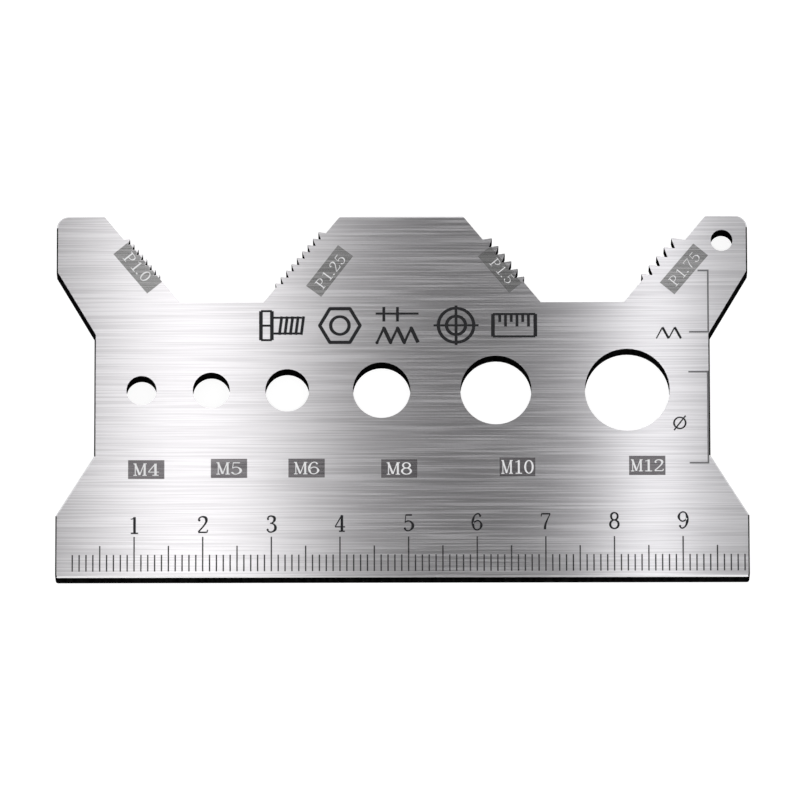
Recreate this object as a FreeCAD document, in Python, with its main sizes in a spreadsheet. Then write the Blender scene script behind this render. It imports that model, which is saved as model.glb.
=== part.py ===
# Pocket screw gauge card: one flat piece of brushed stainless steel.
#
# The card lies on its back face.  X runs along the ruler edge, Y points from the ruler
# edge to the two horns, and Z points out of the marked face.  All sizes are in millimetres.
# Inside the body, Y is counted from the ruler edge, as a drawing of the card would be.
# The body's placement then moves the card so that its middle stands over the origin.
#
# What a user does with it: a bolt goes into the round holes to find its diameter, and its
# thread is laid against the toothed edges of the two bays to find its pitch.

import FreeCAD, Part
import os
import Sketcher

doc = FreeCAD.newDocument("screw_gauge_card")

# Driving dimensions

DIMENSIONS = [
    # blank
    ("overall_length", 101.2, "length of the ruler edge and across the horns"),
    ("overall_height", 54.6, "ruler edge to the tops of the horns"),
    ("plate_thickness", 3.4, "thickness of the sheet"),
    ("recess_depth", 5.6, "depth of the finger recess in each side"),
    ("foot_height", 9.3, "straight end above the ruler edge"),
    ("foot_run", 9.0, "height over which the foot slopes into the recess"),
    ("horn_height", 8.5, "straight side of a horn below its top"),
    ("horn_run", 9.5, "height over which the horn slopes into the recess"),
    ("horn_radius", 1.7, "round of the outer horn corners"),
    ("foot_radius", 0.4, "round of the ruler edge's ends"),
    ("edge_break", 0.2, "broken edge round the marked face, outside the bays"),
    # bays with the toothed edges
    ("bay_depth", 13.1, "depth of each bay below the horn tops"),
    ("horn_width", 18.1, "end of the card to the near corner of the bay's floor"),
    ("bay_floor", 12.2, "length of a bay's flat floor"),
    ("slant_angle", 51.0, "slope of the bay's sides against the ruler edge"),
    ("thread_angle", 60.0, "angle between the two flanks of a tooth"),
    ("flat_share", 0.0625, "flat on crest and root as a share of the pitch"),
    # pitches, one toothed edge each, from left to right
    ("pitch_one", 1.0, "pitch on the left horn"),
    ("pitch_two", 1.25, "pitch on the left side of the bump"),
    ("pitch_three", 1.5, "pitch on the right side of the bump"),
    ("pitch_four", 1.75, "pitch on the right horn"),
    ("teeth_one", 8, "teeth on the left horn"),
    ("teeth_two", 9, "teeth on the left side of the bump"),
    ("teeth_three", 6, "teeth on the right side of the bump"),
    ("teeth_four", 5, "teeth on the right horn"),
    ("drop_one", 3.4, "first crest below the horn top, left horn"),
    ("drop_two", 2.4, "first crest below the horn top, left side of the bump"),
    ("drop_three", 3.4, "first crest below the horn top, right side of the bump"),
    ("drop_four", 3.4, "first crest below the horn top, right horn"),
    ("horn_relief", 0.4, "right horn's side above the teeth, behind the root line"),
    # gauge holes
    ("hole_row", 28.2, "height of the row of gauge holes"),
    ("hole_play", 0.4, "how much wider a gauge hole is than its bolt"),
    ("bolt_four", 4.0, "smallest bolt"),
    ("bolt_five", 5.0, "second bolt"),
    ("bolt_six", 6.0, "third bolt"),
    ("bolt_eight", 8.0, "fourth bolt"),
    ("bolt_ten", 10.0, "fifth bolt"),
    ("bolt_twelve", 12.0, "largest bolt"),
    ("web_four", 4.7, "web between the left recess and the smallest hole"),
    ("web_five", 5.3, "web before the second hole"),
    ("web_six", 5.2, "web before the third hole"),
    ("web_eight", 6.4, "web before the fourth hole"),
    ("web_ten", 7.3, "web before the fifth hole"),
    ("web_twelve", 7.8, "web before the largest hole"),
    ("web_last", 5.9, "web between the largest hole and the right recess"),
    ("hang_hole", 3.2, "hole for a ring or cord in the right horn"),
    ("hang_inset", 3.75, "hanging hole from the horn's side and top"),
    # engraved scale
    ("mark_depth", 0.1, "depth of the engraved marks"),
    ("mark_width", 0.2, "width of an engraved mark"),
    ("mark_step", 1.0, "one scale division"),
    ("zero_inset", 1.5, "zero of the scale from the left end"),
    ("mark_foot", 0.9, "gap between the marks and the ruler edge"),
    ("mark_top", 3.4, "top of a one-step mark"),
    ("five_top", 4.75, "top of a five-step mark"),
    ("ten_top", 6.1, "top of a ten-step mark"),
]

sheet = doc.addObject("Spreadsheet::Sheet", "Sizes")
for row, (alias, size, meaning) in enumerate(DIMENSIONS, start=1):
    sheet.set(f"A{row}", alias)
    sheet.set(f"B{row}", str(size))
    sheet.set(f"C{row}", meaning)
    sheet.setAlias(f"B{row}", alias)
doc.recompute()


# Helpers for sketches whose points are bound to the sheet

def value_of(expression):
    """Number that an expression gives with the sheet as it is now."""
    result = sheet.evalExpression(expression)
    return float(getattr(result, "Value", result))


def new_sketch(body, name, role="XY_Plane", lift=None):
    """Sketch on one of the body's own origin planes, lifted by an expression."""
    planes = [item for item in body.Origin.OriginFeatures if item.Role == role]
    sketch = body.newObject("Sketcher::SketchObject", name)
    sketch.AttachmentSupport = [(planes[0], "")]
    sketch.MapMode = "FlatFace"
    if lift:
        sketch.setExpression(".AttachmentOffset.Base.z", lift)
    return sketch


def fix_coordinate(sketch, kind, edge, end, expression, label):
    """Bind one coordinate of an edge's end to an expression."""
    axis = -2 if kind == "DistanceX" else -1
    if expression == "0":
        sketch.addConstraint(Sketcher.Constraint("PointOnObject", edge, end, axis))
        return
    size = value_of(expression)
    index = sketch.addConstraint(Sketcher.Constraint(kind, edge, end, size))
    sketch.renameConstraint(index, label)
    sketch.setExpression(f"Constraints.{label}", expression)


def add_outline(sketch, corners):
    """Closed outline of straight edges through named corners (name, x, y)."""
    places = [FreeCAD.Vector(value_of(x), value_of(y), 0) for name, x, y in corners]
    first = sketch.GeometryCount
    for number, start in enumerate(places):
        end = places[(number + 1) % len(places)]
        sketch.addGeometry(Part.LineSegment(start, end), False)
    for number in range(len(corners)):
        this_edge = first + number
        next_edge = first + (number + 1) % len(corners)
        sketch.addConstraint(Sketcher.Constraint("Coincident", this_edge, 2, next_edge, 1))
    for number, (name, x, y) in enumerate(corners):
        fix_coordinate(sketch, "DistanceX", first + number, 1, x, f"{name}_x")
        fix_coordinate(sketch, "DistanceY", first + number, 1, y, f"{name}_y")


def add_circle(sketch, name, x, y, diameter):
    """Circle with its centre and its diameter bound to the sheet."""
    centre = FreeCAD.Vector(value_of(x), value_of(y), 0)
    radius = value_of(diameter) / 2
    edge = sketch.addGeometry(Part.Circle(centre, FreeCAD.Vector(0, 0, 1), radius), False)
    fix_coordinate(sketch, "DistanceX", edge, 3, x, f"{name}_x")
    fix_coordinate(sketch, "DistanceY", edge, 3, y, f"{name}_y")
    index = sketch.addConstraint(Sketcher.Constraint("Diameter", edge, 2 * radius))
    sketch.renameConstraint(index, f"{name}_diameter")
    sketch.setExpression(f"Constraints.{name}_diameter", diameter)


def repeat(body, name, feature, sketch, step, count, backwards=False):
    """Copies of a feature along its sketch's own X axis."""
    pattern = body.newObject("PartDesign::LinearPattern", name)
    pattern.Originals = [feature]
    pattern.Direction = (sketch, ["H_Axis"])
    pattern.Reversed = backwards
    pattern.setExpression("Length", f"({count} - 1) * ({step})")
    pattern.setExpression("Occurrences", count)
    body.Tip = pattern
    return pattern


# Toothed edges
# Every bay side has its pitch line through the corner of the bay floor.  Below the teeth
# the side stays on that line.  From the last tooth to the horn top it lies on the root line.

class ToothedEdge:
    """Places on one slanted bay side, as expressions.

    number is the word in the sheet's names; floor_x is where the side meets the bay floor.
    faces is +1 where the side looks to the right and -1 where it looks to the left.
    """

    def __init__(self, number, floor_x, faces, relief=None):
        self.number = number
        self.faces = faces
        self.relief = relief
        self.pitch = f"Sizes.pitch_{number}"
        self.count = f"Sizes.teeth_{number}"
        self.foot = f"({self.pitch} * (1 - Sizes.flat_share) / 2)"
        self.crest = f"({self.pitch} * Sizes.flat_share / 2)"
        self.height = f"(({self.foot} - {self.crest}) / {FLANK_LEAN})"
        self.floor_x = floor_x
        crest_y = f"Sizes.overall_height - Sizes.drop_{number}"
        first_y = f"({crest_y} - {self.height} * cos(Sizes.slant_angle))"
        self.first_root = (self.line_x(first_y, f"{self.height} / 2"), first_y)

    def line_x(self, y, setback):
        """X at height y on a line set back from the pitch line, parallel to it."""
        rise = f"({y} - {BAY_FLOOR_Y})"
        lean = f"({rise} * cos(Sizes.slant_angle) + {setback}) / sin(Sizes.slant_angle)"
        return f"({self.floor_x} - {self.faces} * {lean})"

    def place(self, down, out):
        """Place counted from the root under the first crest, down the side and out of it."""
        x, y = self.first_root
        across = f"(({down}) * cos(Sizes.slant_angle) + ({out}) * sin(Sizes.slant_angle))"
        along = f"(({out}) * cos(Sizes.slant_angle) - ({down}) * sin(Sizes.slant_angle))"
        return f"({x} + {self.faces} * {across})", f"({y} + {along})"

    def corners(self):
        """Corners of this bay side from the horn top down to the bay floor."""
        run = f"({self.count} - 1) * {self.pitch}"
        setback = f"{self.height} / 2"
        above = []
        if self.relief:
            setback = f"{setback} + {self.relief}"
            start = f"-{self.foot} - {self.relief} * {FLANK_LEAN}"
            above.append((f"flank_{self.number}", *self.place(start, f"-{self.relief}")))
            above.append((f"foot_{self.number}", *self.place(f"-{self.foot}", "0")))
        top_x = self.line_x("Sizes.overall_height", setback)
        below = [
            (f"root_{self.number}", *self.place(run, "0")),
            (f"side_{self.number}", *self.place(run, f"{self.height} / 2")),
            (f"floor_{self.number}", self.floor_x, BAY_FLOOR_Y),
        ]
        return [(f"top_{self.number}", top_x, "Sizes.overall_height"), *above, *below]


HALF_LENGTH = "(Sizes.overall_length / 2)"
BAY_FLOOR_Y = "(Sizes.overall_height - Sizes.bay_depth)"
HORN_SIDE = f"({HALF_LENGTH} - Sizes.horn_width)"
BUMP_SIDE = f"({HORN_SIDE} - Sizes.bay_floor)"
FLANK_LEAN = "tan(Sizes.thread_angle / 2)"
toothed_edges = [
    ToothedEdge("one", f"-{HORN_SIDE}", +1),
    ToothedEdge("two", f"-{BUMP_SIDE}", -1),
    ToothedEdge("three", BUMP_SIDE, +1),
    ToothedEdge("four", HORN_SIDE, -1, relief="Sizes.horn_relief"),
]


# Blank

HALF_WAIST = f"({HALF_LENGTH} - Sizes.recess_depth)"
TOUCH = 1e-6


def card_corners():
    """Corners of the blank, counter-clockwise from the left end of the ruler edge."""
    one, two, three, four = toothed_edges
    shoulder = "Sizes.overall_height - Sizes.horn_height"
    right_side = [
        ("edge_right", HALF_LENGTH, "0"),
        ("foot_right", HALF_LENGTH, "Sizes.foot_height"),
        ("waist_start_right", HALF_WAIST, "Sizes.foot_height + Sizes.foot_run"),
        ("waist_end_right", HALF_WAIST, f"{shoulder} - Sizes.horn_run"),
        ("shoulder_right", HALF_LENGTH, shoulder),
        ("horn_right", HALF_LENGTH, "Sizes.overall_height"),
    ]
    left_side = [(name.replace("right", "left"), f"-{x}", y) for name, x, y in right_side]
    right_bay = four.corners() + three.corners()[::-1]
    left_bay = two.corners() + one.corners()[::-1]
    return right_side + right_bay + left_bay + left_side[::-1]


def make_blank(body):
    """Sheet of full thickness with the card's outline."""
    sketch = new_sketch(body, "card_outline")
    add_outline(sketch, card_corners())
    pad = body.newObject("PartDesign::Pad", "blank")
    pad.Profile = sketch
    pad.setExpression("Length", "Sizes.plate_thickness")
    body.Tip = pad
    return pad


def upright_edges(feature, height):
    """Names of the full-thickness edges at the two ends of the card at one height."""
    half = value_of(HALF_LENGTH)
    found = []
    for number, edge in enumerate(feature.Shape.Edges, start=1):
        place = edge.CenterOfMass
        upright = abs(place.z - edge.Length / 2) < TOUCH
        at_side = abs(abs(place.x) - half) < TOUCH
        at_height = abs(place.y - height) < TOUCH
        if upright and at_side and at_height:
            found.append(f"Edge{number}")
    return found


def round_corners(body, name, height, radius):
    """Round the card's two outer corners at one height."""
    doc.recompute()
    base = body.Tip
    fillet = body.newObject("PartDesign::Fillet", name)
    fillet.Base = (base, upright_edges(base, value_of(height)))
    fillet.setExpression("Radius", radius)
    body.Tip = fillet
    return fillet


def rim_edges(feature):
    """Names of the marked face's edges that aren't in the two bays."""
    face_z = value_of("Sizes.plate_thickness")
    floor_y = value_of(BAY_FLOOR_Y)
    top_y = value_of("Sizes.overall_height")
    waist_x = value_of(HALF_WAIST)
    found = []
    for number, edge in enumerate(feature.Shape.Edges, start=1):
        box = edge.BoundBox
        on_face = box.ZMin > face_z - TOUCH
        in_bay = box.YMin > floor_y - TOUCH and abs(box.Center.x) < waist_x
        on_top = box.YMin > top_y - TOUCH
        if on_face and (on_top or not in_bay):
            found.append(f"Edge{number}")
    return found


def break_rim(body):
    """Break the sharp edge round the marked face; the gauging sides stay sharp."""
    doc.recompute()
    base = body.Tip
    chamfer = body.newObject("PartDesign::Chamfer", "broken_rim")
    chamfer.Base = (base, rim_edges(base))
    chamfer.setExpression("Size", "Sizes.edge_break")
    body.Tip = chamfer
    return chamfer


# Teeth

def add_teeth(body, edge):
    """One tooth on a bay side, repeated down the side at the thread's pitch."""
    sketch = new_sketch(body, f"tooth_{edge.number}_section")
    sketch.setExpression(".AttachmentOffset.Base.x", edge.first_root[0])
    sketch.setExpression(".AttachmentOffset.Base.y", edge.first_root[1])
    sketch.setExpression(".AttachmentOffset.Rotation.Angle", f"-{edge.faces} * Sizes.slant_angle")
    bite = f"{edge.height} / 2"
    corners = [
        ("inner_left", f"-{edge.foot}", f"-{bite}"),
        ("inner_right", edge.foot, f"-{bite}"),
        ("root_right", edge.foot, "0"),
        ("crest_right", edge.crest, edge.height),
        ("crest_left", f"-{edge.crest}", edge.height),
        ("root_left", f"-{edge.foot}", "0"),
    ]
    add_outline(sketch, corners)
    tooth = body.newObject("PartDesign::Pad", f"tooth_{edge.number}")
    tooth.Profile = sketch
    tooth.setExpression("Length", "Sizes.plate_thickness")
    body.Tip = tooth
    downwards = edge.faces > 0
    return repeat(body, f"teeth_{edge.number}", tooth, sketch, edge.pitch, edge.count,
                  backwards=not downwards)


# Holes

GAUGE_HOLES = ["four", "five", "six", "eight", "ten", "twelve"]
MARKED_FACE = "Sizes.plate_thickness"


def hole_diameter(word):
    """Diameter of a gauge hole: its bolt's and the play."""
    return f"(Sizes.bolt_{word} + Sizes.hole_play)"


def hole_places():
    """Place of each gauge hole along the card.

    The holes and the webs beside them fill the width between the two recesses.  Where
    that width or a hole changes, the webs share the change in the ratio of their sizes.
    """
    holes = " + ".join(hole_diameter(word) for word in GAUGE_HOLES)
    webs = " + ".join(f"Sizes.web_{word}" for word in [*GAUGE_HOLES, "last"])
    stretch = f"((2 * {HALF_WAIST} - ({holes})) / ({webs}))"
    places = []
    before = f"-{HALF_WAIST}"
    for word in GAUGE_HOLES:
        left = f"{before} + Sizes.web_{word} * {stretch}"
        places.append((word, f"{left} + {hole_diameter(word)} / 2"))
        before = f"{left} + {hole_diameter(word)}"
    return places


def cut_through(body, name, sketch):
    """Cut a sketch on the marked face through the whole sheet."""
    cut = body.newObject("PartDesign::Pocket", name)
    cut.Profile = sketch
    cut.Type = "ThroughAll"
    body.Tip = cut
    return cut


def cut_gauge_holes(body):
    """Row of round holes, each a little wider than its bolt."""
    sketch = new_sketch(body, "gauge_hole_row", lift=MARKED_FACE)
    for word, x in hole_places():
        add_circle(sketch, f"hole_{word}", x, "Sizes.hole_row", hole_diameter(word))
    return cut_through(body, "gauge_holes", sketch)


def cut_hanging_hole(body):
    """Small hole in the right horn."""
    sketch = new_sketch(body, "hanging_hole_place", lift=MARKED_FACE)
    x = f"{HALF_LENGTH} - Sizes.hang_inset"
    y = "Sizes.overall_height - Sizes.hang_inset"
    add_circle(sketch, "hanging_hole", x, y, "Sizes.hang_hole")
    return cut_through(body, "hanging_hole", sketch)


# Engraved scale

MARKS_IN_BLOCK = 10
BLOCK_LENGTH = f"({MARKS_IN_BLOCK} * Sizes.mark_step)"


def mark_top(number):
    """Top of a mark: the fifth and the tenth of a block stand taller."""
    if number == MARKS_IN_BLOCK:
        return "Sizes.ten_top"
    if number == MARKS_IN_BLOCK // 2:
        return "Sizes.five_top"
    return "Sizes.mark_top"


def engrave_scale(body):
    """Block of ten marks, repeated as far as the ruler edge goes.

    The last block runs off the card's end, as on the real one, so its tenth mark is missing.
    """
    sketch = new_sketch(body, "mark_block", lift=MARKED_FACE)
    for number in range(1, MARKS_IN_BLOCK + 1):
        middle = f"Sizes.zero_inset - {HALF_LENGTH} + {number} * Sizes.mark_step"
        left = f"{middle} - Sizes.mark_width / 2"
        right = f"{middle} + Sizes.mark_width / 2"
        corners = [
            (f"foot_left_{number}", left, "Sizes.mark_foot"),
            (f"foot_right_{number}", right, "Sizes.mark_foot"),
            (f"top_right_{number}", right, mark_top(number)),
            (f"top_left_{number}", left, mark_top(number)),
        ]
        add_outline(sketch, corners)
    groove = body.newObject("PartDesign::Pocket", "scale_block")
    groove.Profile = sketch
    groove.setExpression("Length", "Sizes.mark_depth")
    body.Tip = groove
    blocks = f"ceil((Sizes.overall_length - Sizes.zero_inset) / {BLOCK_LENGTH})"
    return repeat(body, "scale", groove, sketch, BLOCK_LENGTH, blocks)


# Card

card = doc.addObject("PartDesign::Body", "gauge_card")
card.Label = "gauge_card"
card.setExpression(".Placement.Base.y", "-Sizes.overall_height / 2")

make_blank(card)
round_corners(card, "horn_corners", "Sizes.overall_height", "Sizes.horn_radius")
round_corners(card, "foot_corners", "0", "Sizes.foot_radius")
break_rim(card)
for toothed_edge in toothed_edges:
    add_teeth(card, toothed_edge)
cut_gauge_holes(card)
cut_hanging_hole(card)
engrave_scale(card)
doc.recompute()


# Check and write

for item in doc.Objects:
    if "Invalid" in item.State or "Error" in item.State:
        raise RuntimeError(f"{item.Name} did not build: {item.State}")

os.makedirs("parts", exist_ok=True)
for body in [card]:
    if body.Shape.isNull() or not body.Shape.isValid():
        raise RuntimeError(f"{body.Label} has no valid shape")
    if len(body.Shape.Solids) != 1:
        raise RuntimeError(f"{body.Label} is not one solid")
    body.Shape.exportStep(f"parts/{body.Label}.step")
    print(body.Label, "volume", round(body.Shape.Volume, 3), "faces", len(body.Shape.Faces))
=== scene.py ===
# %% [markdown]
# # A brushed steel screw gauge card, dressed for its picture
#
# The card is one flat sheet of stainless steel, 101 mm long and 3.4 mm thick.  Its ruler edge,
# its six gauge holes and its four toothed edges are what it measures with, so they were made
# as an exact solid model, which is loaded here and keeps its shape.  This lesson adds what
# the eye reads next: the brushed grain, the black cut walls, whose black is partly painted
# shade, and the etched marks.

# %% Load the card
import math

import bmesh
import bpy
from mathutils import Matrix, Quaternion, Vector
from mathutils.geometry import delaunay_2d_cdt


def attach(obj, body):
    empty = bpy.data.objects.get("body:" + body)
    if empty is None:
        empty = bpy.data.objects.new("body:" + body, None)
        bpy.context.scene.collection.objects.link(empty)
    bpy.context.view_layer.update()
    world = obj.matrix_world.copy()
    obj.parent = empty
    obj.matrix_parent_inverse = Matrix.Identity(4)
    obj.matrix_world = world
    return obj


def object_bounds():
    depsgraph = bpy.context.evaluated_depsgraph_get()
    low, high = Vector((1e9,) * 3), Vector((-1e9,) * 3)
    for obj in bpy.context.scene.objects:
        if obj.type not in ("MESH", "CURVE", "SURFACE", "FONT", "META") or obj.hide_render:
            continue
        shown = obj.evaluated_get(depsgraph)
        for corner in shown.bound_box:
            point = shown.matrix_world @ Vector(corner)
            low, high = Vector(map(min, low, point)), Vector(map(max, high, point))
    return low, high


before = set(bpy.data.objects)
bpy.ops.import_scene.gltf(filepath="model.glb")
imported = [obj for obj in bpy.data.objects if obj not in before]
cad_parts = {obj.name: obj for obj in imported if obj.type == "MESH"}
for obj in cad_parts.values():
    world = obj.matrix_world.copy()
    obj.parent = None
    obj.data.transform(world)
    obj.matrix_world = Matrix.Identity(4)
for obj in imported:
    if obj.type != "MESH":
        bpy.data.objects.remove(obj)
cad_low, cad_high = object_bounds()
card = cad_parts["gauge_card"]
scene = bpy.context.scene
print("card from", tuple(round(c, 4) for c in cad_low), "to", tuple(round(c, 4) for c in cad_high))

# %% [markdown]
# ## Places on the marked face
# On the real card all the marks come from one flat drawing.  They could be moved into place
# by eye, but places read off a drawing in millimetres stay true to the ruler: X from the
# card's middle, and Y up from the ruler edge.  Blender works in metres round the card's
# middle, so one helper turns a drawing place into a Blender place.

# %% Places on the marked face
MM = 0.001
FACE_Z = cad_high.z
RULER_EDGE_Y = cad_low.y


def on_face(x, y, height=0.0):
    """Blender place of a drawing place on the marked face, all in millimetres."""
    return Vector((x * MM, RULER_EDGE_Y + y * MM, FACE_Z + height * MM))


print("the marked face is", round(FACE_Z / MM, 2), "mm above the table")

# %% [markdown]
# ## Camera
# The picture looks down steeply with a very long lens, so that the card's edges stay nearly
# parallel.  A camera far away with a small field of view does the same.  Its place is given
# by two angles and a distance, which are easier to think about than three coordinates.

# %% Camera
CAMERA_ELEVATION = 74.905
CAMERA_AZIMUTH = 0.174
CAMERA_ROLL = -0.276
CAMERA_DISTANCE = 1.96
LENS_MM = 603.1
SENSOR_WIDTH_MM = 36.0
NEAREST, FARTHEST = 0.1, 20.0
AIM = Vector((-0.00032, -0.00020, 0.0019))

elevation = math.radians(CAMERA_ELEVATION)
azimuth = math.radians(CAMERA_AZIMUTH)
towards_camera = Vector((
    math.sin(azimuth) * math.cos(elevation),
    -math.cos(azimuth) * math.cos(elevation),
    math.sin(elevation),
))
camera_data = bpy.data.cameras.new("camera")
camera_data.lens = LENS_MM
camera_data.sensor_width = SENSOR_WIDTH_MM
camera_data.clip_start = NEAREST
camera_data.clip_end = FARTHEST
camera = bpy.data.objects.new("camera", camera_data)
scene.collection.objects.link(camera)
camera.location = AIM + towards_camera * CAMERA_DISTANCE
camera.rotation_mode = "QUATERNION"
turn = Quaternion((0, 0, 1), math.radians(CAMERA_ROLL))
camera.rotation_quaternion = (-towards_camera).to_track_quat("-Z", "Y") @ turn
scene.camera = camera
print("camera", round(CAMERA_DISTANCE, 2), "m away, lens", LENS_MM, "mm")

# %% [markdown]
# ## Materials, by small helpers
# A real finish varies all over its surface, and a material shows that with a graph of nodes.
# The graph could be wired by hand for each finish.  A few helpers keep it short instead: they
# fill a socket, make a node, make a finish with its main shader, and do sums.

# %% Node helpers
def feed(tree, socket, value):
    """Give a socket its value, which is a number, a colour or another node's output."""
    if isinstance(value, bpy.types.NodeSocket):
        tree.links.new(value, socket)
    else:
        socket.default_value = value


def add_node(tree, kind, **sockets):
    """New node; each keyword names an input socket."""
    node = tree.nodes.new(kind)
    for name, value in sockets.items():
        feed(tree, node.inputs[name.replace("_", " ")], value)
    return node


def new_finish(name, colour, metallic, roughness, specular=0.5):
    """Material with one main shader, set up as a plain finish."""
    material = bpy.data.materials.new(name)
    material.use_nodes = True
    shader = material.node_tree.nodes["Principled BSDF"]
    shader.inputs["Base Color"].default_value = (*colour, 1.0)
    shader.inputs["Metallic"].default_value = metallic
    shader.inputs["Roughness"].default_value = roughness
    shader.inputs["Specular IOR Level"].default_value = specular
    return material, material.node_tree, shader


def combine(tree, operation, first, second):
    """Output of a Math node."""
    node = tree.nodes.new("ShaderNodeMath")
    node.operation = operation
    for socket, value in zip(node.inputs, (first, second)):
        feed(tree, socket, value)
    return node.outputs[0]


print("helpers for nodes and finishes are ready")

# %% [markdown]
# ## Brushed steel
# A brushing belt draws thousands of fine, nearly parallel scratches along the card.  They do
# two things.  Seen close, they are streaks.  Seen from afar, they blur a reflection across
# the scratches and keep it sharp along them, which the shader calls anisotropic.
#
# The scratches could be cut into the mesh, but there are far too many.  So the streaks are
# noise that is stretched along X.  Three layers are added, from broad to fine, because a belt
# leaves all of them.  A dark streak is plain metal.  A light one is torn a little, so it is
# less metallic and scatters some light, which keeps the streaks visible both where the card
# mirrors a lamp and where it mirrors something dark.

# %% Streaks
BROAD_STREAK = (16.0, 1100.0, 1100.0)
MIDDLE_STREAK = (32.0, 2900.0, 2900.0)
FINE_STREAK = (55.0, 5000.0, 5000.0)
STREAK_SHARES = ((BROAD_STREAK, 0.10), (MIDDLE_STREAK, 0.32), (FINE_STREAK, 0.58))


def streaks(tree, stretch, detail=1.0):
    """Noise with a given number of features to the metre along X, Y and Z."""
    where = tree.nodes.new("ShaderNodeTexCoord").outputs["Object"]
    mapping = add_node(tree, "ShaderNodeMapping", Vector=where, Scale=stretch)
    noise = add_node(tree, "ShaderNodeTexNoise", Vector=mapping.outputs[0],
                     Scale=1.0, Detail=detail, Roughness=0.6)
    return noise.outputs["Fac"]


def ranged(tree, value, low, high, to_low=0.0, to_high=1.0):
    """Map a value from one range to another, with the ends held."""
    node = add_node(tree, "ShaderNodeMapRange", Value=value, From_Min=low, From_Max=high,
                    To_Min=to_low, To_Max=to_high)
    return node.outputs["Result"]


def brushing(tree):
    """Streaks of all three sizes, from 0 to 1."""
    total, *others = [combine(tree, "MULTIPLY", streaks(tree, stretch), share)
                      for stretch, share in STREAK_SHARES]
    for layer in others:
        total = combine(tree, "ADD", total, layer)
    return ranged(tree, total, low=0.42, high=0.58)


def blended(tree, factor, dark, light):
    """Colour between two greys: dark where the factor is 0, and light where it is 1."""
    mix = tree.nodes.new("ShaderNodeMix")
    mix.data_type = "RGBA"
    tree.links.new(factor, mix.inputs["Factor"])
    mix.inputs["A"].default_value = (*dark, 1.0)
    mix.inputs["B"].default_value = (*light, 1.0)
    return mix.outputs["Result"]


def brush_along_x(tree, shader):
    """Reflections stay sharp along X and blur across it."""
    shader.inputs["Anisotropic"].default_value = 1.0
    across = add_node(tree, "ShaderNodeCombineXYZ", Y=1.0)
    feed(tree, shader.inputs["Tangent"], across.outputs[0])


print("streaks of", len(STREAK_SHARES), "sizes can be drawn")

# %% [markdown]
# A real scratch changes everything about the steel at its place.  Each property could have a
# noise of its own, but then a scratch would be pale in one place and rough in another.  So
# the same streaks steer the colour, the metal share, the roughness and a very slight bump.

# %% Brushed steel
STEEL_DARK, STEEL_LIGHT = (0.595, 0.59, 0.605), (0.725, 0.72, 0.737)
METAL_OF_DARK, METAL_OF_LIGHT = 1.0, 0.72
ROUGH_OF_DARK, ROUGH_OF_LIGHT = 0.29, 0.275
SCRATCH_DEPTH = 0.00001
steel, tree, shader = new_finish("brushed_steel", STEEL_LIGHT, METAL_OF_DARK, ROUGH_OF_DARK)
shade = brushing(tree)
feed(tree, shader.inputs["Base Color"], blended(tree, shade, STEEL_DARK, STEEL_LIGHT))
metal = ranged(tree, shade, low=0.35, high=1.0, to_low=METAL_OF_DARK, to_high=METAL_OF_LIGHT)
feed(tree, shader.inputs["Metallic"], metal)
rough = ranged(tree, shade, low=0.0, high=1.0, to_low=ROUGH_OF_DARK, to_high=ROUGH_OF_LIGHT)
feed(tree, shader.inputs["Roughness"], rough)
brush_along_x(tree, shader)
bump = add_node(tree, "ShaderNodeBump", Height=shade, Strength=0.05, Distance=SCRATCH_DEPTH)
feed(tree, shader.inputs["Normal"], bump.outputs[0])
print("brushed steel has", len(tree.nodes), "nodes")

# %% [markdown]
# ## Cut walls, inked grooves and the highlighted edge
# A hot beam cut the outline and the holes through the sheet.  It leaves a dark, dull wall
# with fine upright drag lines.  Its finish here is almost black and has no gloss, partly for
# that dark cut and partly as painted shade, and it has streaks that are long in Z.  The
# engraved scale marks are filled with grey ink, which is a little patchy.  The broken edge
# along the ruler carries a painted highlight: a metal paler than the steel, so that it shows
# as a bright rim.  Each of the three is a finish of its own, made with the same streaks or
# with a finer, cloudy noise.

# %% Finishes of the walls, grooves and edge
DRAG_LINES = (2400.0, 2400.0, 160.0)
# near-black of the walls: partly the dark cut, partly painted shade
OXIDE_AND_SHADE_BLACKEST, OXIDE_AND_SHADE_PALEST = 0.0004, 0.007
GROOVE_DARK, GROOVE_LIGHT = (0.04, 0.038, 0.042), (0.08, 0.078, 0.082)
# the ruler's rim: a painted highlight, paler than the steel so that it shows as a bright line
HIGHLIGHT_DARK, HIGHLIGHT_LIGHT = (0.88, 0.88, 0.885), (0.97, 0.97, 0.975)


def mottled(tree, scale, detail, low=0.35, high=0.65, to_low=0.0, to_high=1.0):
    """Fine cloudy noise, stretched to a range."""
    noise = add_node(tree, "ShaderNodeTexNoise", Scale=scale, Detail=detail)
    return ranged(tree, noise.outputs["Fac"], low, high, to_low, to_high)


# almost black wall with no gloss: partly the dark cut, partly painted shade
cut_wall, tree, shader = new_finish("cut_wall", (OXIDE_AND_SHADE_PALEST,) * 3, metallic=0.0,
                                    roughness=0.8, specular=0.0)
oxide_and_shade = ranged(tree, streaks(tree, DRAG_LINES, detail=3.0), low=0.35, high=0.65,
              to_low=OXIDE_AND_SHADE_BLACKEST, to_high=OXIDE_AND_SHADE_PALEST)
feed(tree, shader.inputs["Base Color"], oxide_and_shade)

groove_ink, tree, shader = new_finish("groove_ink", GROOVE_LIGHT, metallic=0.0,
                                      roughness=0.5, specular=0.2)
patches = mottled(tree, scale=2500.0, detail=2.0)
feed(tree, shader.inputs["Base Color"], blended(tree, patches, GROOVE_DARK, GROOVE_LIGHT))

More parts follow.
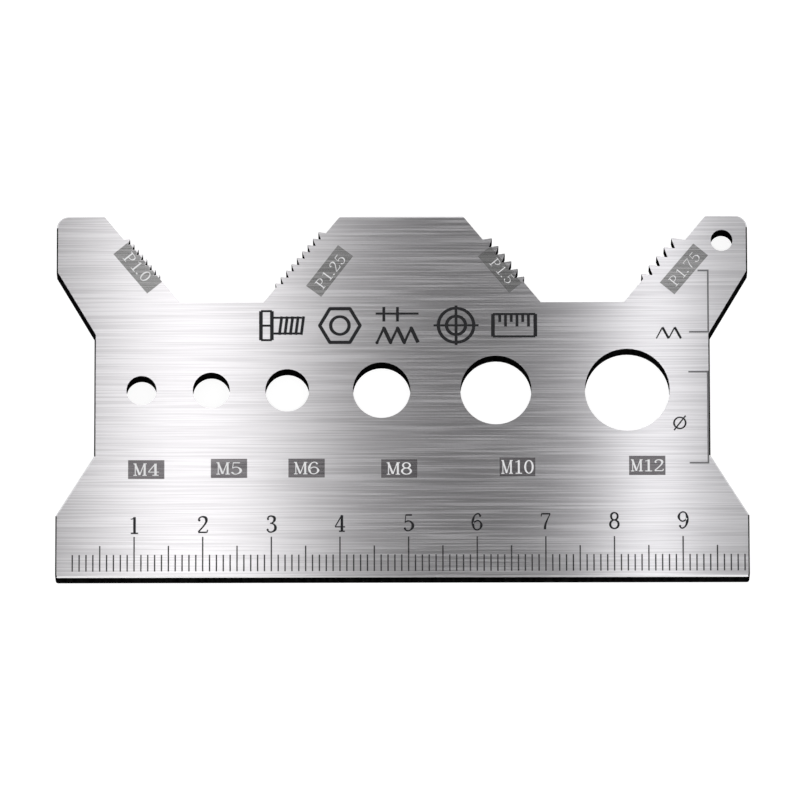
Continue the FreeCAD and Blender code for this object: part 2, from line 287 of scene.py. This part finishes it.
# painted highlight on the ruler's broken edge
highlighted, tree, shader = new_finish("painted_highlight_edge", HIGHLIGHT_LIGHT, metallic=1.0,
                                     roughness=0.28)
rim_grain = ranged(tree, streaks(tree, MIDDLE_STREAK), low=0.35, high=0.65)
feed(tree, shader.inputs["Base Color"], blended(tree, rim_grain, HIGHLIGHT_DARK, HIGHLIGHT_LIGHT))
brush_along_x(tree, shader)
print("three more finishes for the card's own faces")

# %% [markdown]
# ## Finishes onto the card's faces
# Thin pieces could be laid over the walls and the grooves.  But these places belong to the
# solid card, and a face of it can simply carry another material, so nothing is added.  The
# slope of a face tells a wall, a broken edge and a level face apart, and its depth tells
# which of them lie in a groove.  The broken edges at the sides get the walls' near-black
# finish as painted shade, a dark line along each side.

# %% Finishes onto the card's faces
STEEL, CUT, INKED, PAINTED_HIGHLIGHT = range(4)
GROOVE_DEPTH = 0.1 * MM
GROOVE_FLOOR_Z = FACE_Z - GROOVE_DEPTH
TOUCH = 1e-6
# limits for the parts of a face's normal: how far it points up, then sideways and back
WALL_UP = 0.2
LEVEL_UP = 0.9
BROKEN_EDGE_UP = (0.6, 0.8)
SIDEWAYS = 0.3
MOST_BACK = 0.05
TO_RULER = -0.6


def finish_number(face):
    """Which finish a face of the card gets, from the parts of its normal and its depth."""
    lowest = min(card.data.vertices[corner].co.z for corner in face.vertices)
    right, back, up = face.normal
    wall = abs(up) < WALL_UP
    broken_edge = BROKEN_EDGE_UP[0] < up < BROKEN_EDGE_UP[1]
    in_groove = lowest > GROOVE_FLOOR_Z - TOUCH and face.center.z < FACE_Z - TOUCH
    if in_groove and (wall or up > LEVEL_UP):
        return INKED
    # side rims get the near-black wall finish as painted shade
    if wall or (broken_edge and abs(right) > SIDEWAYS and back < MOST_BACK):
        return CUT
    # the ruler's rim gets the painted highlight
    if broken_edge and back < TO_RULER:
        return PAINTED_HIGHLIGHT
    return STEEL


card.data.materials.clear()
for finish in (steel, cut_wall, groove_ink, highlighted):
    card.data.materials.append(finish)
counts = [0, 0, 0, 0]
for face in card.data.polygons:
    face.material_index = finish_number(face)
    counts[face.material_index] += 1
print("steel, cut, inked and burnished faces:", counts)

# %% [markdown]
# ## Flat artwork from pen strokes
# Everything printed on the card is flat: letters, numerals, lines and small pictures.  Text
# objects could show the letters, but they need a font file.  So each sign is drawn with
# strokes, as with a broad pen.  A stroke is a smooth line with a width at each of its points,
# and its two sides together make one outline.

# %% Strokes to outlines
def smooth(points, steps=4):
    """More points between the given ones, on a smooth line through all of them."""
    if len(points) < 3:
        return list(points)
    ends = [points[0], *points, points[-1]]
    line = []
    for a, b, c, d in zip(ends, ends[1:], ends[2:], ends[3:]):
        for step in range(steps):
            t = step / steps
            line.append(tuple(
                0.5 * (2 * q + (r - p) * t + (2 * p - 5 * q + 4 * r - s) * t * t
                       + (3 * q - p - 3 * r + s) * t ** 3)
                for p, q, r, s in zip(a, b, c, d)))
    return [*line, points[-1]]


def ribbon(points):
    """Outline of a stroke; points are (x, y, width)."""
    left, right = [], []
    for number, (x, y, width) in enumerate(points):
        before = Vector(points[max(number - 1, 0)][:2])
        after = Vector(points[min(number + 1, len(points) - 1)][:2])
        along = (after - before).normalized()
        side = Vector((-along.y, along.x)) * width / 2
        left.append((x + side.x, y + side.y))
        right.append((x - side.x, y - side.y))
    return right + left[::-1]


def stroke(*points):
    """Smooth stroke, as a list of one outline."""
    return [ribbon(smooth(points))]


def bar(x0, y0, x1, y1, width):
    """Straight stroke."""
    return [ribbon([(x0, y0, width), (x1, y1, width)])]


def dot(x, y, diameter, sides=10):
    """Round blob."""
    return [(x + diameter / 2 * math.cos(math.tau * n / sides),
             y + diameter / 2 * math.sin(math.tau * n / sides)) for n in range(sides)]


print("strokes can be turned into outlines")

# %% [markdown]
# ## Outlines to a thin layer
# Ink lies on steel as a very thin skin.  It could be painted into the steel's own material,
# but a mesh keeps a sharp rim at any distance.  Where strokes cross, their outlines must
# first become one shape.  A constrained triangulation does that: it cuts all the outlines at
# their crossings and says which of them cover each little triangle.  The covered triangles
# are raised to a layer, which also reaches down into the card, so that no gap shows.

# %% Outlines to a thin layer
INK_HEIGHT = 0.015
INK_SINK = 0.02
INSIDE_ONLY = 1
SAME_POINT = 1e-5


def covered(outlines, hidden=()):
    """Triangles of all the outlines together, without those under the hidden ones."""
    points, faces = [], []
    for outline in [*outlines, *hidden]:
        faces.append(list(range(len(points), len(points) + len(outline))))
        points += [Vector(p) for p in outline]
    places, _, triangles, _, _, sources = delaunay_2d_cdt(
        points, [], faces, INSIDE_ONLY, SAME_POINT, True)
    shown = [tri for tri, source in zip(triangles, sources)
             if source and all(number < len(outlines) for number in source)]
    return places, shown


def make_layer(name, outlines, finish, hidden=(), height=INK_HEIGHT):
    """Flat piece on the marked face, from outlines in drawing millimetres."""
    places, triangles = covered(outlines, hidden)
    mesh = bmesh.new()
    used = sorted({corner for triangle in triangles for corner in triangle})
    corners = {n: mesh.verts.new(on_face(places[n].x, places[n].y, height)) for n in used}
    tops = [mesh.faces.new([corners[n] for n in triangle]) for triangle in triangles]
    bmesh.ops.recalc_face_normals(mesh, faces=tops)
    sunk = bmesh.ops.extrude_face_region(mesh, geom=tops)
    lower = [item for item in sunk["geom"] if isinstance(item, bmesh.types.BMVert)]
    bmesh.ops.translate(mesh, verts=lower, vec=(0, 0, -(height + INK_SINK) * MM))
    bmesh.ops.recalc_face_normals(mesh, faces=mesh.faces)
    data = bpy.data.meshes.new(name)
    mesh.to_mesh(data)
    mesh.free()
    piece = bpy.data.objects.new(name, data)
    scene.collection.objects.link(piece)
    data.materials.append(finish)
    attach(piece, "root")
    print(name, "has", len(data.polygons), "faces")
    return piece


def placed(outlines, x, y, scale=1.0, angle=0.0):
    """Copies of outlines, scaled, turned by degrees and moved to a drawing place."""
    c, s = math.cos(math.radians(angle)) * scale, math.sin(math.radians(angle)) * scale
    return [[(x + px * c - py * s, y + px * s + py * c) for px, py in outline]
            for outline in outlines]


print("outlines can be raised to layers")

# %% [markdown]
# ## Figures and letters
# The card's figures and letters have thick and thin strokes and small feet, like old book
# type.  Each sign is drawn only once, one unit high, with its foot on the line and its left
# side at zero, so that every mark can use it at a size of its own.

# %% Figures and letters
THIN, THICK, FOOT = 0.085, 0.15, 0.08


def foot(x, y, length):
    """Short level stroke that ends a stem."""
    return bar(x - length / 2, y, x + length / 2, y, FOOT)


def ring(x, y, radius_x, radius_y, side, top, turns=28):
    """Closed oval, thick at its sides and thin at its top and bottom."""
    points = []
    for number in range(turns + 1):
        a = math.tau * number / turns
        width = top + (side - top) * abs(math.cos(a)) ** 1.5
        points.append((x + radius_x * math.cos(a), y + radius_y * math.sin(a), width))
    half = turns // 2
    return [ribbon(points[:half + 2]), ribbon(points[half:] + points[1:2])]


SIX = (stroke((0.49, 0.87, 0.05), (0.42, 0.96, THIN), (0.30, 0.98, THIN), (0.15, 0.86, 0.09),
              (0.06, 0.60, THICK), (0.06, 0.34, THICK), (0.14, 0.10, 0.09), (0.30, 0.03, THIN),
              (0.46, 0.11, 0.09), (0.54, 0.31, THICK), (0.47, 0.50, 0.09), (0.32, 0.58, THIN),
              (0.16, 0.51, THIN), (0.09, 0.40, THIN))
       + [dot(0.47, 0.86, 0.13)])
SIGNS = {
    "0": (0.60, ring(0.30, 0.50, 0.24, 0.47, THICK, THIN)),
    "1": (0.60, bar(0.32, 0.99, 0.32, 0.02, THICK)
          + stroke((0.34, 0.97, 0.05), (0.23, 0.89, 0.06), (0.10, 0.86, 0.05))
          + foot(0.32, 0.03, 0.42)),
    "2": (0.60, stroke((0.07, 0.74, 0.09), (0.10, 0.88, THIN), (0.27, 0.97, THIN),
                       (0.46, 0.91, THICK), (0.51, 0.74, THICK), (0.44, 0.55, 0.10),
                       (0.24, 0.29, THIN), (0.05, 0.08, THIN))
          + bar(0.04, 0.05, 0.54, 0.05, 0.09)
          + bar(0.54, 0.04, 0.58, 0.20, 0.07)
          + [dot(0.10, 0.76, 0.14)]),
    "3": (0.60, stroke((0.08, 0.80, THIN), (0.15, 0.93, THIN), (0.30, 0.97, THIN),
                       (0.46, 0.89, THICK), (0.48, 0.74, THICK), (0.38, 0.59, THIN),
                       (0.22, 0.54, 0.05))
          + stroke((0.22, 0.54, 0.05), (0.42, 0.50, 0.08), (0.53, 0.34, THICK),
                   (0.51, 0.16, THICK), (0.36, 0.04, THIN), (0.19, 0.03, THIN),
                   (0.06, 0.16, THIN))
          + [dot(0.11, 0.79, 0.12), dot(0.09, 0.16, 0.13)]),
    "4": (0.62, bar(0.42, 0.98, 0.04, 0.31, 0.07)
          + bar(0.03, 0.29, 0.60, 0.29, 0.07)
          + bar(0.42, 0.98, 0.42, 0.02, THICK)
          + foot(0.42, 0.03, 0.34)),
    "5": (0.60, bar(0.13, 0.95, 0.50, 0.95, 0.09)
          + bar(0.14, 0.95, 0.10, 0.50, 0.05)
          + stroke((0.10, 0.51, 0.05), (0.22, 0.59, THIN), (0.38, 0.58, 0.08),
                   (0.53, 0.42, THICK), (0.52, 0.20, THICK), (0.37, 0.05, 0.07),
                   (0.20, 0.03, THIN), (0.06, 0.15, THIN))
          + [dot(0.09, 0.16, 0.13)]),
    "6": (0.60, SIX),
    "7": (0.60, bar(0.05, 0.94, 0.56, 0.94, 0.09)
          + bar(0.06, 0.96, 0.04, 0.78, 0.06)
          + stroke((0.55, 0.93, 0.05), (0.40, 0.62, 0.08), (0.28, 0.30, 0.12),
                   (0.25, 0.02, 0.14))),
    "8": (0.60, ring(0.30, 0.75, 0.19, 0.22, 0.12, THIN)
          + ring(0.30, 0.28, 0.24, 0.25, 0.13, THIN)),
    "9": (0.60, placed(SIX, 0.60, 1.0, angle=180.0)),
    "M": (0.74, bar(0.11, 0.97, 0.11, 0.03, 0.06)
          + bar(0.10, 0.97, 0.35, 0.05, 0.13)
          + bar(0.35, 0.04, 0.59, 0.97, 0.06)
          + bar(0.62, 0.97, 0.62, 0.03, 0.13)
          + foot(0.09, 0.97, 0.16) + foot(0.11, 0.03, 0.20)
          + foot(0.64, 0.97, 0.18) + foot(0.62, 0.03, 0.24)),
    "P": (0.70, bar(0.18, 0.97, 0.18, 0.03, THICK)
          + stroke((0.18, 0.95, THIN), (0.42, 0.95, THIN), (0.58, 0.85, 0.10),
                   (0.60, 0.70, THICK), (0.53, 0.55, 0.10), (0.38, 0.48, THIN),
                   (0.18, 0.48, THIN))
          + foot(0.18, 0.03, 0.34) + foot(0.12, 0.97, 0.20)),
    ".": (0.16, [dot(0.02, 0.08, 0.17)]),
}
print("signs drawn:", " ".join(SIGNS))

# %% [markdown]
# ## Words from signs
# A size mark is a short word such as M10.  The marks differ in height, width and weight, and
# some are slanted.  They could be drawn one by one, but a helper can set any of them: it puts
# signs side by side, thins their strokes, and turns the word round its middle.

# %% Words from signs
def thinner(outline, weight):
    """Stroke whose two sides are drawn together; weight is the share of its width that stays."""
    return [tuple((near + far) / 2 + (near - far) / 2 * weight for near, far in zip(here, there))
            for here, there in zip(outline, reversed(outline))]


def written(text, x, y, height, widen=1.0, gap=0.0, angle=0.0, weight=1.0):
    """Outlines of a text whose middle lies at a drawing place; widths and gap in heights."""
    pen = -(sum(SIGNS[sign][0] * widen + gap for sign in text) - gap) / 2
    outlines = []
    for sign in text:
        advance, shapes = SIGNS[sign]
        outlines += [[(px * widen + pen, py - 0.5) for px, py in thinner(shape, weight)]
                     for shape in shapes]
        pen += advance * widen + gap
    return placed(outlines, x, y, height, angle)


print("signs can be set as words")

# %% [markdown]
# ## Ruler numerals
# Nine dark numerals stand over the centimetre marks, each centred on its mark.  On the real
# card the print isn't quite square: the row climbs a little to the right.  The marks are cut
# into the solid, so a loop with the same step puts every numeral over its own.  The ink is
# almost black, and its gloss is a little uneven, as ink dries on brushed steel.

# %% Dark ink
INK_BLACK = (0.012, 0.012, 0.014)
ink, tree, shader = new_finish("dark_ink", INK_BLACK, metallic=0.0, roughness=0.5, specular=0.2)
feed(tree, shader.inputs["Roughness"],
     mottled(tree, scale=2500.0, detail=2.0, low=0.3, high=0.7, to_low=0.42, to_high=0.6))
print("dark ink has", len(tree.nodes), "nodes")

# %% Ruler numerals
FIRST_CENTIMETRE_X = -39.1
CENTIMETRE = 10.0
NUMERAL_MIDDLE_Y = 7.84
NUMERAL_CLIMB = 0.085
NUMERAL_HEIGHT = 2.55
numerals = []
for number in range(1, 10):
    x = FIRST_CENTIMETRE_X + CENTIMETRE * (number - 1)
    y = NUMERAL_MIDDLE_Y + NUMERAL_CLIMB * (number - 1)
    numerals += written(str(number), x, y, NUMERAL_HEIGHT)
make_layer("ruler_numerals", numerals, ink)

# %% [markdown]
# ## Grey grounds and pale letters
# Beside each hole and each toothed edge a grey field is etched, and the letters in it are
# left bright.  Etching eats a speckled skin into the steel, but the brushing still shines
# through.  So its finish is half metal, and mixes a cloudy grain with the finest streaks.
# The fields of the toothed edges are a little paler than those of the holes.

# %% Grey grounds and pale letters
GRAIN_SIZE = 2600.0
GRAIN_SHARE, STREAK_SHARE = 0.6, 0.4
LETTER_PALE = (0.80, 0.80, 0.81)


def etched_finish(name, dark, light, metallic):
    """Grey etched ground: part dull, part steel that still shines through."""
    material, tree, shader = new_finish(name, light, metallic, roughness=0.3, specular=0.3)
    cloudy = add_node(tree, "ShaderNodeTexNoise", Scale=GRAIN_SIZE, Detail=1.0).outputs["Fac"]
    grain = combine(tree, "ADD", combine(tree, "MULTIPLY", cloudy, GRAIN_SHARE),
                    combine(tree, "MULTIPLY", streaks(tree, FINE_STREAK), STREAK_SHARE))
    shade = ranged(tree, grain, low=0.38, high=0.62)
    feed(tree, shader.inputs["Base Color"], blended(tree, shade, dark, light))
    brush_along_x(tree, shader)
    return material


diameter_ground = etched_finish("diameter_ground", dark=(0.07, 0.065, 0.07),
                                light=(0.26, 0.25, 0.26), metallic=0.5)
pitch_ground = etched_finish("pitch_ground", dark=(0.11, 0.11, 0.11),
                             light=(0.41, 0.41, 0.41), metallic=0.6)
letter_finish, tree, shader = new_finish("pale_letters", LETTER_PALE, metallic=0.25,
                                         roughness=0.5)
feed(tree, shader.inputs["Roughness"],
     mottled(tree, scale=3000.0, detail=2.0, low=0.3, high=0.7, to_low=0.42, to_high=0.58))
print("two grey grounds and one pale finish")

# %% [markdown]
# ## Size fields
# A field is a rectangle with its letters cut out of it, and the letters are filled with a
# paler layer of their own.  Letters could also be laid on top of an unbroken field, but then
# two layers would lie in the same place.  The fields differ a little in place, size and
# slant, so each has a row in a table, and each word has another.

# %% Places of the fields and of their letters
# fields: middle x and y, length, width and angle
DIAMETER_FIELDS = {
    "M4": (-37.37, 16.25, 5.3, 2.83, 0.0),
    "M5": (-25.29, 16.41, 5.3, 2.88, 0.0),
    "M6": (-13.97, 16.43, 5.3, 2.83, 0.0),
    "M8": (-0.45, 16.35, 5.25, 2.75, 0.0),
    "M10": (16.8, 16.55, 5.2, 2.8, 0.0),
    "M12": (35.75, 16.75, 5.3, 2.9, 0.0),
}
PITCH_FIELDS = {
    "P1.0": (-38.72, 46.82, 7.8, 2.82, -50.4),
    "P1.25": (-10.6, 46.29, 7.76, 2.78, 52.9),
    "P1.5": (14.33, 46.45, 7.2, 2.38, -50.5),
    "P1.75": (41.31, 46.51, 7.73, 2.8, 50.1),
}
# letters: shift along and across the field, height, widening and weight of the strokes
DIAMETER_LETTERS = {
    "M4": (0.0, 0.0, 1.85, 1.45, 0.88),
    "M5": (0.0, 0.0, 1.85, 1.45, 0.84),
    "M6": (0.0, 0.0, 1.85, 1.45, 0.84),
    "M8": (0.0, 0.0, 1.85, 1.45, 0.84),
    "M10": (0.0, 0.0, 2.05, 1.12, 0.84),
    "M12": (0.0, 0.0, 1.8, 1.3, 0.92),
}
PITCH_LETTERS = {
    "P1.0": (-0.12, 0.05, 1.68, 1.2, 0.72),
    "P1.25": (0.0, -0.15, 1.6, 1.13, 0.68),
    "P1.5": (0.35, 0.13, 1.5, 1.16, 0.5),
    "P1.75": (0.04, -0.05, 1.6, 1.15, 0.55),
}
print("fields to make:", len(DIAMETER_FIELDS) + len(PITCH_FIELDS))

# %% Fields of the gauge holes
LETTER_LIFT = 0.02


def rectangle(length, width):
    """Outline of a rectangle round zero."""
    a, b = length / 2, width / 2
    return [(-a, -b), (a, -b), (a, b), (-a, b)]


def make_fields(name, fields, lettering, ground, gap, open_air=()):
    """Grey fields as one piece, and their letters as another."""
    grounds, letters = [], []
    for text, (x, y, length, width, angle) in fields.items():
        along, across, height, widen, weight = lettering[text]
        c, s = math.cos(math.radians(angle)), math.sin(math.radians(angle))
        grounds += placed([rectangle(length, width)], x, y, angle=angle)
        letters += written(text, x + along * c - across * s, y + along * s + across * c,
                           height, widen, gap, angle, weight)
    make_layer(f"{name}_fields", grounds, ground, hidden=[*letters, *open_air])
    make_layer(f"{name}_letters", letters, letter_finish, height=LETTER_LIFT)


make_fields("diameter", DIAMETER_FIELDS, DIAMETER_LETTERS, diameter_ground, gap=0.07)

# %% [markdown]
# ## Slanted fields that stop at the teeth
# Two of the slanted fields reach onto the teeth of their edges.  A tooth can carry the grey,
# but the open valley beside it can't, or the grey would hang in the air.  The fields could be
# made shorter, but on the real card they touch the teeth.  So the valleys are cut out of
# these fields, each with a narrow margin, in the same way as the letters are.

# %% Slanted fields that stop at the teeth
SLANT = 51.0
FLANK_LEAN = math.tan(math.radians(30.0))
# the floor's width and the depth as shares of the pitch, and the margin in millimetres
VALLEY_FLOOR = 0.0625
VALLEY_DEPTH = 0.8
VALLEY_MARGIN = 0.04


def valleys(x, y, pitch, count):
    """Outlines of the open valleys down a toothed edge; x and y are the first one's floor."""
    floor = pitch * VALLEY_FLOOR / 2 + VALLEY_MARGIN
    top = pitch * VALLEY_DEPTH
    mouth = floor + top * FLANK_LEAN
    outline = [(-floor, -VALLEY_MARGIN), (floor, -VALLEY_MARGIN), (mouth, top), (-mouth, top)]
    step_x = pitch * math.cos(math.radians(SLANT))
    step_y = -pitch * math.sin(math.radians(SLANT))
    shapes = []
    for n in range(count):
        shapes += placed([outline], x + n * step_x, y + n * step_y, angle=-SLANT)
    return shapes


open_air = valleys(-40.14, 50.33, pitch=1.0, count=7)
open_air += valleys(12.765, 49.9, pitch=1.5, count=5)
make_fields("pitch", PITCH_FIELDS, PITCH_LETTERS, pitch_ground, gap=0.14, open_air=open_air)

# %% [markdown]
# ## Guide lines
# Two thin bent lines at the right tie the rows together: the upper one joins the toothed
# edges to their sign, and the lower one joins the holes to theirs.  Curves could draw them,
# but the strokes that drew the letters make them just as flat, with square bends.  Both stop
# a little before the card's broken edge, where a flat layer would stand in the air.

# %% Guide lines
LINE_WIDTH = 0.24
UPPER_LINE = ((43.3, 46.27), (44.8, 46.27), (44.8, 36.95), (42.1, 36.95))
LOWER_LINE = ((41.85, 30.9), (44.68, 30.9), (44.68, 17.13), (42.06, 17.13))
LINE_DARK, LINE_LIGHT = (0.11, 0.11, 0.115), (0.20, 0.20, 0.205)


def bent_line(*corners):
    """Thin line with square bends."""
    shapes = []
    for (x0, y0), (x1, y1) in zip(corners, corners[1:]):
        shapes += bar(x0, y0, x1, y1, LINE_WIDTH)
        shapes += placed([rectangle(LINE_WIDTH, LINE_WIDTH)], x1, y1)
    return shapes


line_finish, tree, shader = new_finish("grey_line", LINE_LIGHT, metallic=0.3,
                                       roughness=0.5, specular=0.3)
grain = mottled(tree, GRAIN_SIZE, detail=1.0)
feed(tree, shader.inputs["Base Color"], blended(tree, grain, LINE_DARK, LINE_LIGHT))
guide_lines = bent_line(*UPPER_LINE) + bent_line(*LOWER_LINE)
make_layer("guide_lines", guide_lines, line_finish)

# %% [markdown]
# ## Pictures for the heading
# The heading says what the card is for, with five small pictures: a bolt, a nut, a thread
# with its pitch, a bolt in a gauge hole and a ruler.  Pictures say it in every language.
# They are drawn with thick upright and thin level strokes, like the rest of the marks, each
# round its own middle and about seven millimetres wide and six high.

# %% Heading pictures
BOLD, RIM, MIDDLE, SLIM, LIGHT, CENTRE_LINE = 0.54, 0.5, 0.42, 0.36, 0.32, 0.3


def box_lines(x0, y0, x1, y1):
    """Rectangle with thick upright and thin level strokes."""
    return (bar(x0, y0, x0, y1, BOLD) + bar(x1, y0, x1, y1, BOLD)
            + bar(x0, y0, x1, y0, LIGHT) + bar(x0, y1, x1, y1, LIGHT))


def bolt_picture():
    """Bolt from the side, with its head on the left."""
    shapes = box_lines(-3.0, -2.2, -1.4, 2.2) + bar(-3.0, 0.0, -1.4, 0.0, LIGHT)
    shapes += bar(-1.4, 1.2, 3.0, 1.2, LIGHT) + bar(-1.4, -1.2, 3.0, -1.2, LIGHT)
    for n in range(5):
        x = -0.3 + 0.8 * n
        shapes += bar(x, -1.4, x + 0.35, 1.4, MIDDLE)
    return shapes


def nut_picture():
    """Hexagon with a round hole."""
    corners = [(2.95 * math.cos(math.radians(60 * n)), 2.95 * math.sin(math.radians(60 * n)))
               for n in range(7)]
    shapes = []
    for (x0, y0), (x1, y1) in zip(corners, corners[1:]):
        shapes += bar(x0, y0, x1, y1, RIM) + [dot(x0, y0, RIM)]
    return shapes + ring(0.0, 0.0, 1.35, 1.35, RIM, MIDDLE)


def pitch_picture():
    """Thread outline with a span over one tooth."""
    shapes = []
    for n in range(3):
        x = -3.0 + 2.0 * n
        shapes += bar(x, -2.6, x + 1.0, -0.4, SLIM) + bar(x + 1.0, -0.4, x + 2.0, -2.6, BOLD)
        shapes += [dot(x + 1.0, -0.4, RIM), dot(x, -2.6, RIM)]
    shapes += bar(-2.0, 0.6, -2.0, 2.8, MIDDLE) + bar(0.0, 0.6, 0.0, 2.8, MIDDLE)
    shapes += bar(-3.2, 1.8, 3.1, 1.8, LIGHT)
    return shapes


def hole_picture():
    """Bolt end in a gauge hole: two rings and a crossed centre."""
    shapes = ring(0.0, 0.0, 2.6, 2.6, RIM, MIDDLE) + ring(0.0, 0.0, 1.4, 1.4, RIM, MIDDLE)
    shapes += bar(-3.3, 0.0, 3.3, 0.0, CENTRE_LINE) + bar(0.0, -3.0, 0.0, 3.0, MIDDLE)
    return shapes


def ruler_picture():
    """Short ruler with its marks."""
    shapes = box_lines(-3.1, -1.7, 3.1, 1.7)
    for n in range(6):
        x = -2.1 + 0.84 * n
        length = 1.9 if n % 2 else 1.2
        shapes += bar(x, 1.7, x, 1.7 - length, MIDDLE)
    return shapes


print("five pictures can be drawn")

# %% Heading
HEADING_Y = 38.0
HEADING_ROW = ((-17.65, bolt_picture), (-9.1, nut_picture), (-0.67, pitch_picture),
               (7.9, hole_picture), (16.4, ruler_picture))
heading = []
for x, picture in HEADING_ROW:
    heading += placed(picture(), x, HEADING_Y)
make_layer("heading_pictures", heading, ink)

# %% [markdown]
# ## Signs of the guide lines
# The upper line ends at two small teeth, the sign for a thread's pitch.  The lower one ends
# at a struck circle, the sign for a diameter.  Draughtsmen use both, so they need no words,
# and the pen strokes of the heading draw them too.

# %% Small signs
UPSTROKE, DOWNSTROKE = 0.2, 0.34
teeth = bar(-2.0, -0.9, -1.1, 0.8, UPSTROKE) + bar(-1.1, 0.8, -0.2, -0.9, DOWNSTROKE)
teeth += bar(-0.2, -0.9, 0.7, 0.8, UPSTROKE) + bar(0.7, 0.8, 1.6, -0.9, DOWNSTROKE)
struck = ring(0.0, 0.0, 0.85, 0.85, side=0.26, top=0.2)
struck += bar(-0.85, -1.1, 0.85, 1.1, UPSTROKE)
signs = placed(teeth, x=39.2, y=36.85) + placed(struck, x=40.55, y=23.15)
make_layer("small_signs", signs, ink)

# %% [markdown]
# ## Studio: a white table in a white room
# For its picture the card lies on white paper in a white room.  The room is a plain white
# world.  The table could be a white surface under strong light, but that light would also
# fall on the steel.  So its paint is only pale enough to take the card's shadow, and a glow
# that the camera and shiny surfaces see brings it up to white.

# %% World and table
TABLE_SIZE = 6.0
TABLE_PAINT = 0.30
TABLE_GLOW = 0.90
WHITE = (1.0, 1.0, 1.0, 1.0)
scene.view_settings.view_transform = "Standard"


def seen_directly(tree):
    """1 for rays from the camera, and for those that shiny or clear surfaces send on."""
    path = tree.nodes.new("ShaderNodeLightPath")
    shiny = combine(tree, "MAXIMUM", path.outputs["Is Glossy Ray"],
                    path.outputs["Is Transmission Ray"])
    return combine(tree, "MAXIMUM", path.outputs["Is Camera Ray"], shiny)


world = bpy.data.worlds.new("white_room")
scene.world = world
world.use_nodes = True
tree = world.node_tree
background = tree.nodes["Background"]
background.inputs["Color"].default_value = WHITE
background.inputs["Strength"].default_value = 1.0

table_material = bpy.data.materials.new("white_table")
table_material.use_nodes = True
tree = table_material.node_tree
tree.nodes.clear()
paint = add_node(tree, "ShaderNodeBsdfDiffuse",
                 Color=(TABLE_PAINT, TABLE_PAINT, TABLE_PAINT, 1.0))
glow = add_node(tree, "ShaderNodeEmission", Color=WHITE,
                Strength=combine(tree, "MULTIPLY", seen_directly(tree), TABLE_GLOW))
both = tree.nodes.new("ShaderNodeAddShader")
tree.links.new(paint.outputs[0], both.inputs[0])
tree.links.new(glow.outputs[0], both.inputs[1])
output = tree.nodes.new("ShaderNodeOutputMaterial")
tree.links.new(both.outputs[0], output.inputs["Surface"])


def flat_panel(name, size_x, size_y, centre, material):
    """Level rectangle."""
    a, b = size_x / 2, size_y / 2
    data = bpy.data.meshes.new(name)
    data.from_pydata([(-a, -b, 0), (a, -b, 0), (a, b, 0), (-a, b, 0)], [], [(0, 1, 2, 3)])
    data.materials.append(material)
    panel = bpy.data.objects.new(name, data)
    panel.location = centre
    scene.collection.objects.link(panel)
    return panel


flat_panel("table", TABLE_SIZE, TABLE_SIZE, (0, 0, 0), table_material)
print("table of", TABLE_SIZE, "m")

# %% [markdown]
# ## Studio: two lamps, a black card and a black flag
# Brushed steel only looks like steel when it mirrors something bright beside something dark.
# Shades could be painted into its material, but they would stay put when the card is seen
# from elsewhere.  A photographer hangs lamps and black cloth over it instead, and so does
# this cell.  The steel mirrors two long soft lamps as bright bands, the black card over them
# as the dark bands beside these, and the white room at its ends.  A black flag stands low in
# front, and darkens the middle of the ruler's bright rim.

# %% Lamps and the black card over them
CAMERA_LEAN = math.radians(90 - CAMERA_ELEVATION)
LENGTH_TO_HEIGHT = 2.6
BLACK_CARD_X = -0.022
BLACK_CARD_WIDTH = 0.187
BLACK_CARD_HEIGHT = 0.46


def over_card(x, height):
    """Place over the card that its face mirrors to the camera."""
    return (x, height * math.tan(CAMERA_LEAN), height)


def strip_lamp(name, x, height, width, brightness, colour):
    """Long soft lamp, level and parallel to Y; one of brightness 1 would just look white."""
    data = bpy.data.lights.new(name, "AREA")
    data.color = colour
    data.shape = "RECTANGLE"
    data.size = width
    data.size_y = LENGTH_TO_HEIGHT * height
    data.energy = brightness * math.pi * data.size * data.size_y
    lamp = bpy.data.objects.new(name, data)
    lamp.location = over_card(x, height)
    lamp.visible_camera = False
    scene.collection.objects.link(lamp)
    return lamp


strip_lamp("lamp_left", x=-0.0385, height=0.45, width=0.0305, brightness=2.75,
           colour=(1.0, 0.985, 0.985))
strip_lamp("lamp_right", x=0.0417, height=0.276, width=0.003, brightness=10.7,
           colour=(1.0, 0.99, 1.0))
black, tree, shader = new_finish("black_cloth", (0.01, 0.01, 0.01), metallic=0.0,
                                 roughness=0.5, specular=0.0)
black_card = flat_panel("black_card", BLACK_CARD_WIDTH, LENGTH_TO_HEIGHT * BLACK_CARD_HEIGHT,
                        over_card(BLACK_CARD_X, BLACK_CARD_HEIGHT), black)
black_card.visible_camera = False
print("two lamps under one black card")

# %% Black flag
FLAG_X = 0.009
FLAG_DISTANCE = 0.35
FLAG_WIDTH = 0.046
FLAG_TALL = 0.4
flag = flat_panel("black_flag", FLAG_WIDTH, FLAG_TALL,
                  (FLAG_X, -FLAG_DISTANCE, FLAG_TALL / 2), black)
flag.rotation_euler = (math.radians(90), 0, 0)
flag.visible_camera = False
print("black flag", FLAG_DISTANCE, "m in front")
